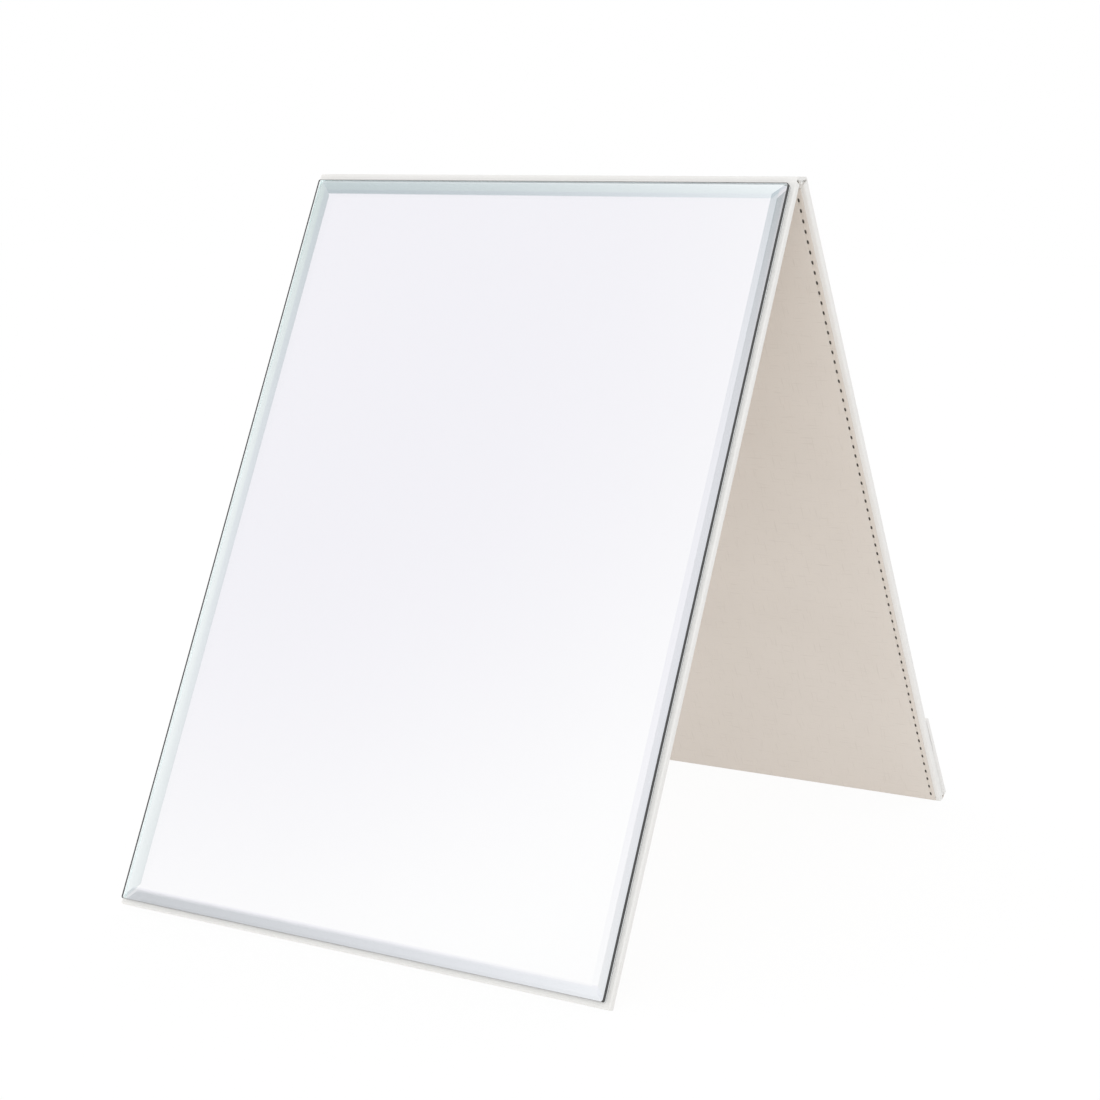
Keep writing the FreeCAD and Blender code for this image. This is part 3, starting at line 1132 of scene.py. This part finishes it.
def ground_edge_finish(name, light, dark, dull_glow, left_glow):
    """Ground glass. Its emission is a painted glow, for light gathered in the plate that leaves it at this edge,
    most on the left.
    """
    material, place, shader = new_finish(name)
    grit = place.noise(grit_scale, 3.0)
    wave = place.noise(wave_scale)
    leftness = side_measures(place, "left")[0].step(2 * glow_reach, glow_reach)
    place.feed(shader, {
        "Base Color": (0.6 * grit + 0.4 * wave).mix(dark, light),
        "Emission Color": leftness.mix(dull_glow, left_glow),
        "Emission Strength": edge_glow,
        "Roughness": 0.40 + 0.25 * grit,
    })
    return material


# The ground edge carries a painted glow: emission, though it is no lamp.
ground_edge = ground_edge_finish("ground_glass_edge", (0.86, 0.90, 0.90), (0.76, 0.80, 0.80),
                                 (0.336, 0.35, 0.35), (0.86, 0.90, 0.90))
silver = silver_finish("silver")
print("finishes under the glass:", silver.name, ground_edge.name)

# %% Plate mesh
arris = 0.10 * mm
silver_gap = 0.02 * mm
in_clear, in_ground, in_silver, in_facets = range(4)

form = bmesh.new()
rim, lip = plate_outline(0.0), plate_outline(arris)
back = [plate_vert(form, x, l, plate_low.z + silver_gap) for x, l in rim]
edge = [plate_vert(form, x, l, facet_height(x, l) - arris) for x, l in rim]
brow = [plate_vert(form, x, l, facet_height(x, l)) for x, l in lip]
inner = [plate_vert(form, sx * (half_x - bevel_width), sl * (half_l - bevel_width), plate_high.z)
         for sx, sl in ((1, 1), (-1, 1), (-1, -1), (1, -1))]
for face in bridge(form, back, edge) + bridge(form, edge, brow):
    face.material_index = in_ground
per_corner = corner_steps + 1
for side in range(4):
    first = side * per_corner + corner_steps // 2
    outer = [brow[(first + k) % len(brow)] for k in range(per_corner + 1)]
    form.faces.new(outer + [inner[(side + 1) % 4], inner[side]]).material_index = in_facets + side
form.faces.new(inner).material_index = in_clear
form.faces.new(list(reversed(back))).material_index = in_silver
bmesh.ops.recalc_face_normals(form, faces=form.faces)
plate = new_piece("mirror_plate", form, (clear_glass, ground_edge, silver, *facet_glass))
plate.data.shade_flat()
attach(plate, "mirror_leaf")
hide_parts("mirror_glass")

# %% [markdown]
# ## Sealed edge
# The edge of a silvered plate is brushed with a dark sealer so that damp can't creep under the silver. From
# outside it is the thin dark line round the glass. Its greys by side are painted light and shade, darkest at
# the sides and palest at the foot. It is thickest on the left, where it also laps furthest on to the bevel.
# From inside, through the bevel, the ground edge shows pale with a painted glow, and the sealer's underside
# takes the same glowing finish. One ring just outside the glass gives all that, because glass and sealer are
# then separate surfaces.

# %% Edge sealer
seal_thickness = 0.05 * mm
seal_bead = 0.40 * mm
seal_lift = 0.012 * mm
seal_foot = plate_low.z + 0.35 * mm
hair = 0.004 * mm
seal_laps = {"left": 0.36 * mm, "right": 0.10 * mm, "top": 0.25 * mm, "foot": 0.19 * mm}
seal_reach = 0.6 * mm
# Painted light and shade: the sealer's greys by side, palest at the foot and darkest at the sides.
seal_painted_shades = {"foot": (0.38, 0.50), "top": (0.28, 0.06), "left": 0.05, "right": 0.05}
grit_depth = 0.03 * mm
# These bands on the sealer's underside take the ground edge's painted glow.
glowing_bands = (4, 5, 6)


def sealer_finish(name):
    """Greys by side, painted light and shade on the dark sealer. Those of the foot and the top go from the left
    corner to the right one.
    """
    material, place, shader = new_finish(name)
    x, l = place.dot(across), place.dot(mirror.up) - mirror.up.dot(plate_middle)
    share = x * (0.5 / half_x) + 0.5
    foot, top = (start + (end - start) * share for start, end in (seal_painted_shades["foot"], seal_painted_shades["top"]))
    near, far = seal_reach, seal_reach / 2
    tone = foot + l.step(half_l - near, half_l - far) * (top - foot)
    tone = tone + x.step(near - half_x, far - half_x) * (seal_painted_shades["left"] - tone)
    tone = tone + x.step(half_x - near, half_x - far) * (seal_painted_shades["right"] - tone)
    grit = place.noise(grit_scale, 3.0)
    place.feed(shader, {
        "Base Color": tone * (0.8 + 0.4 * grit),
        "Roughness": 0.40 + 0.25 * grit,
        "Normal": grit.bump(0.3, grit_depth),
    })
    return material


edge_seal = sealer_finish("edge_sealer")
form = bmesh.new()
outer, touching = plate_outline(-seal_thickness), plate_outline(-hair)
outer = [(x - seal_bead if x < 0 else x, l) for x, l in outer]
lap = [(x + (seal_laps["left"] if x < 0 else -seal_laps["right"]),
        l + (seal_laps["foot"] if l < 0 else -seal_laps["top"])) for x, l in rim]
shoulders = [facet_height(*spot) - arris for spot in rim]
foot = [seal_foot] * len(rim)
on_lip, on_lap = ([facet_height(*spot) for spot in row] for row in (lip, lap))
rows = [(outer, foot, 0), (outer, shoulders, 0), (lip, on_lip, seal_lift), (lap, on_lap, seal_lift),
        (lap, on_lap, hair), (lip, on_lip, hair), (touching, shoulders, 0), (touching, foot, 0)]
loops = [[plate_vert(form, x, l, n + lift) for (x, l), n in zip(row, heights)] for row, heights, lift in rows]
for k, loop in enumerate(loops):
    for face in bridge(form, loop, loops[(k + 1) % len(loops)]):
        face.material_index = 1 if k in glowing_bands else 0
bmesh.ops.recalc_face_normals(form, faces=form.faces)
seal = new_piece("mirror_edge_seal", form, (edge_seal, ground_edge))
seal.data.shade_flat()
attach(seal, "mirror_leaf")

# %% [markdown]
# ## Finishes of the pieces inside
# Boards, card, tape, film, steel discs and magnets are inside and show only at cut edges or in other poses.
# They keep their CAD shapes. Each still gets a finish with a grain of its own size, because a part that is
# taken apart or seen in section should look like board, paper or metal.

# %% Inner finishes
fleck_depth = 0.04 * mm
inner_cloud_scale = 40.0
# Name, light and dark colour, grain in mm, roughness, metallic
inner_rows = {
    "board": ("grey_board", (0.58, 0.56, 0.53), (0.45, 0.43, 0.40), 1.2, 0.85, 0.0),
    "infill": ("white_card", (0.84, 0.81, 0.76), (0.76, 0.72, 0.67), 0.8, 0.80, 0.0),
    "film": ("safety_film", (0.58, 0.59, 0.62), (0.51, 0.52, 0.54), 2.0, 0.45, 0.0),
    "tape": ("paper_tape", (0.91, 0.91, 0.89), (0.84, 0.84, 0.82), 0.6, 0.70, 0.0),
    "stay": ("plastic_stay", (0.88, 0.88, 0.86), (0.82, 0.82, 0.80), 1.0, 0.55, 0.0),
    "steel": ("keeper_steel", (0.66, 0.67, 0.68), (0.56, 0.57, 0.58), 0.5, 0.40, 1.0),
    "magnet": ("plated_magnet", (0.76, 0.76, 0.77), (0.68, 0.68, 0.69), 1.5, 0.25, 1.0),
    "silvering": ("silver_paint", (0.70, 0.71, 0.73), (0.62, 0.63, 0.65), 0.9, 0.50, 0.0),
}


def plain_finish(name, light, dark, grain, roughness, metallic):
    material, place, shader = new_finish(name)
    fleck = place.noise(1 / (grain * mm), 4.0)
    cloud = place.noise(inner_cloud_scale)
    place.feed(shader, {
        "Base Color": (0.7 * fleck + 0.3 * cloud).mix(dark, light),
        "Roughness": roughness + 0.2 * (fleck - 0.5),
        "Metallic": metallic,
        "Normal": fleck.bump(0.25, fleck_depth),
    })
    return material


inner_finishes = {slot: plain_finish(*row) for slot, row in inner_rows.items()}
carried = 0
for subpart in frame["record"]["subparts"]:
    material = inner_finishes.get(subpart["material_slot"])
    if material:
        mesh = frame["nodes"][subpart["node"]].data
        mesh.materials.clear()
        mesh.materials.append(material)
        carried += 1
print("CAD pieces with a new finish:", carried)
